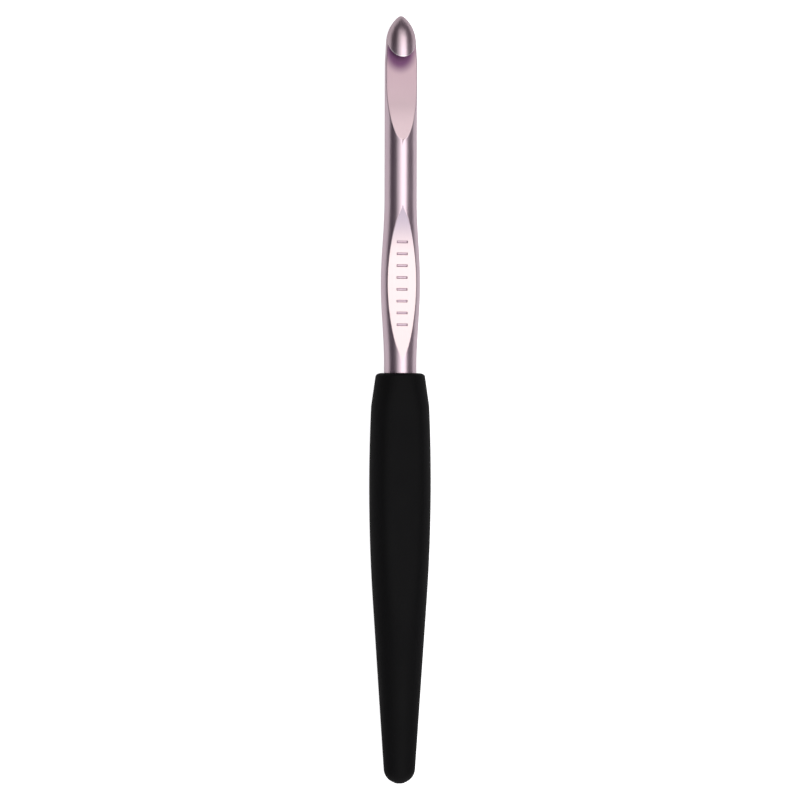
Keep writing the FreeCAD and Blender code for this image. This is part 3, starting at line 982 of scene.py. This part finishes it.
    def build(self) -> bpy.types.Object:
        """Make the skin."""
        shape = bmesh.new()
        level = shape.verts.layers.float.new("flat_level")
        outline = [(point, self.flat_level) for point in self.outside()]
        outline += [(point, self.flat_level - self.wall) for point in self.inside()]
        verts = []
        for (place, height), flat in outline:
            vert = shape.verts.new((self.mouth + place, 0.0, height))
            vert[level] = flat
            verts.append(vert)
        edges = [shape.edges.new(pair) for pair in zip(verts, verts[1:] + verts[:1])]
        bmesh.ops.spin(
            shape,
            geom=verts + edges,
            cent=(0.0, 0.0, 0.0),
            axis=(1.0, 0.0, 0.0),
            angle=2 * math.pi,
            steps=self.turn_steps,
            use_merge=True,
        )
        bmesh.ops.remove_doubles(shape, verts=shape.verts, dist=MERGE)
        self.press_oval(shape, level)
        materials = [Finish.SOFT_GRIP.value.material()]
        return finish_piece("grip_soft_skin", shape, self.to_model, materials, self.sharp_angle)


# --- studio --------------------------------------------------------------------------------

@dataclass(frozen=True)
class Softbox:
    """A large soft light overhead, leaning to one side."""

    name: str
    height: float
    tilt: float
    along: float
    length: float
    width: float
    radiance: float

    def hang(self, target: Vector) -> None:
        """Hang the light over the target, facing it."""
        lamp = bpy.data.lights.new(self.name, "AREA")
        lamp.shape = "RECTANGLE"
        lamp.size = self.length
        lamp.size_y = self.width
        lamp.energy = self.radiance * math.pi * self.length * self.width
        light = bpy.data.objects.new(self.name, lamp)
        lean = math.radians(self.tilt)
        away = Vector((0.0, -math.sin(lean), math.cos(lean)))
        light.location = target + away * self.height + Vector((self.along, 0.0, 0.0))
        light.rotation_euler = (-lean, 0.0, 0.0)
        light.visible_camera = False
        bpy.context.scene.collection.objects.link(light)


@dataclass
class Studio:
    """Pale table, soft overhead light, dim surroundings and the camera.

    The table glows a little by itself, and more where the camera sees it, so that it stays
    pale round the hook.  The framing shifts the camera along the hook and across it.
    """

    target: Vector
    frame_width: float = 0.1972
    lens: float = 110.0
    sensor: float = 36.0
    side_tilt: float = 8.0
    roll: float = 0.13
    framing: tuple[float, float, float] = (-0.00012, 0.00005, 0.0)
    table_half: float = 3.0
    table_albedo: float = 0.88
    table_glow: float = 0.04
    table_seen_glow: float = 0.80
    wall_left: Colour = (0.042, 0.034, 0.047)
    wall_right: Colour = (0.120, 0.105, 0.125)
    wall_butt: Colour = (0.62, 0.60, 0.63)
    butt_wall_edge: tuple[float, float] = (-0.35, -0.75)
    softboxes: tuple[Softbox, ...] = (
        Softbox("overhead_softbox", 0.75, 17.0, -0.12, 1.15, 0.670, 0.98),
        Softbox("overhead_scrim", 0.85, 7.0, 0.1, 2.0, 1.15, 0.66),
    )

    def lay_table(self) -> bpy.types.Object:
        """The plain pale table top."""
        shape = bmesh.new()
        bmesh.ops.create_grid(shape, x_segments=1, y_segments=1, size=self.table_half)
        mesh = bpy.data.meshes.new("table_top")
        shape.to_mesh(mesh)
        shape.free()
        material, bench = new_material("pale_table")
        seen = bench.node("ShaderNodeLightPath", output="Is Camera Ray")
        diffuse = bench.node(
            "ShaderNodeBsdfDiffuse", inputs={"Color": rgba((self.table_albedo,) * 3)}
        )
        glow = bench.node(
            "ShaderNodeEmission",
            inputs={
                "Color": rgba((1.0, 1.0, 1.0)),
                "Strength": seen * self.table_seen_glow + self.table_glow,
            },
        )
        surface = bench.node("ShaderNodeAddShader", inputs={0: diffuse, 1: glow})
        mesh.materials.append(finish_material(material, bench, surface))
        table = bpy.data.objects.new("table_top", mesh)
        bpy.context.scene.collection.objects.link(table)
        return table

    @staticmethod
    def set_tones() -> None:
        """Show the light as it is, without a film's curve."""
        bpy.context.scene.view_settings.view_transform = "Standard"

    def light_room(self) -> None:
        """Dim walls beside the hook and a pale one at its butt; the camera sees only pale walls."""
        world = bpy.data.worlds.new("studio_room")
        bpy.context.scene.world = world
        world.use_nodes = True
        bench = Bench(world.node_tree)
        direction = bench.node("ShaderNodeTexCoord", output="Generated")
        across = bench.node("ShaderNodeSeparateXYZ", inputs={0: direction}, output=1)
        along = bench.node("ShaderNodeSeparateXYZ", inputs={0: direction}, output=0)
        sides = bench.blend(
            bench.ramp(across, -1.0, 1.0), rgba(self.wall_right), rgba(self.wall_left)
        )
        at_butt = bench.ramp(along, *self.butt_wall_edge, "SMOOTHSTEP")
        walls = bench.blend(at_butt, sides, rgba(self.wall_butt))
        seen = bench.node("ShaderNodeLightPath", output="Is Camera Ray")
        colour = bench.blend(seen, walls, rgba((1.0, 1.0, 1.0)))
        background = bench.node("ShaderNodeBackground", inputs={"Color": colour, "Strength": 1.0})
        bench.node("ShaderNodeOutputWorld", inputs={"Surface": background})

    def hang_lights(self) -> None:
        """Hang every softbox."""
        for softbox in self.softboxes:
            softbox.hang(self.target)

    def aim_camera(self) -> None:
        """A long lens that looks down on the hook, with the tip at the top of the frame."""
        data = bpy.data.cameras.new("camera")
        data.lens = self.lens
        data.sensor_width = self.sensor
        camera = bpy.data.objects.new("camera", data)
        tilt = math.radians(self.side_tilt)
        back = Vector((0.0, math.sin(tilt), math.cos(tilt)))
        up = Vector((1.0, 0.0, 0.0))
        right = up.cross(back)
        turn = Matrix((right, up, back)).transposed().to_4x4()
        spin = Matrix.Rotation(math.radians(self.roll), 4, "Z")
        distance = self.lens / self.sensor * self.frame_width
        place = self.target + Vector(self.framing) + back * distance
        camera.matrix_world = Matrix.Translation(place) @ turn @ spin
        bpy.context.scene.collection.objects.link(camera)
        bpy.context.scene.camera = camera


# --- putting it together -------------------------------------------------------------------


def main() -> None:
    """Build every piece, dress it, and set up the studio."""
    logging.basicConfig(level=logging.INFO, format="%(message)s")
    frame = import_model()
    model_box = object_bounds()
    low, high = model_box
    grip_low, grip_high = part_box("grip_skin")
    axis_height = (grip_low.z + grip_high.z) / 2
    to_model = (
        Matrix.Translation((high.x, 0.0, axis_height))
        @ Matrix.Rotation(math.pi, 4, "Z")
        @ Matrix.Scale(MM, 4)
    )

    metal = HookMetal(to_model).build()
    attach(metal, "root")
    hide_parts("hook")

    skin = GripSkin(to_model).build()
    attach(skin, "root")
    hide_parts("grip_skin")

    core = frame["nodes"]["handle_core"]
    core.data.materials.clear()
    core.data.materials.append(Finish.HARD_CORE.value.material())

    studio = Studio(Vector(((low.x + high.x) / 2, 0.0, axis_height)))
    studio.lay_table()
    studio.set_tones()
    studio.light_room()
    studio.hang_lights()
    studio.aim_camera()

    for piece in (metal, skin, core):
        log.info("%s: %d faces", piece.name, len(piece.data.polygons))


if __name__ == "__main__":
    main()
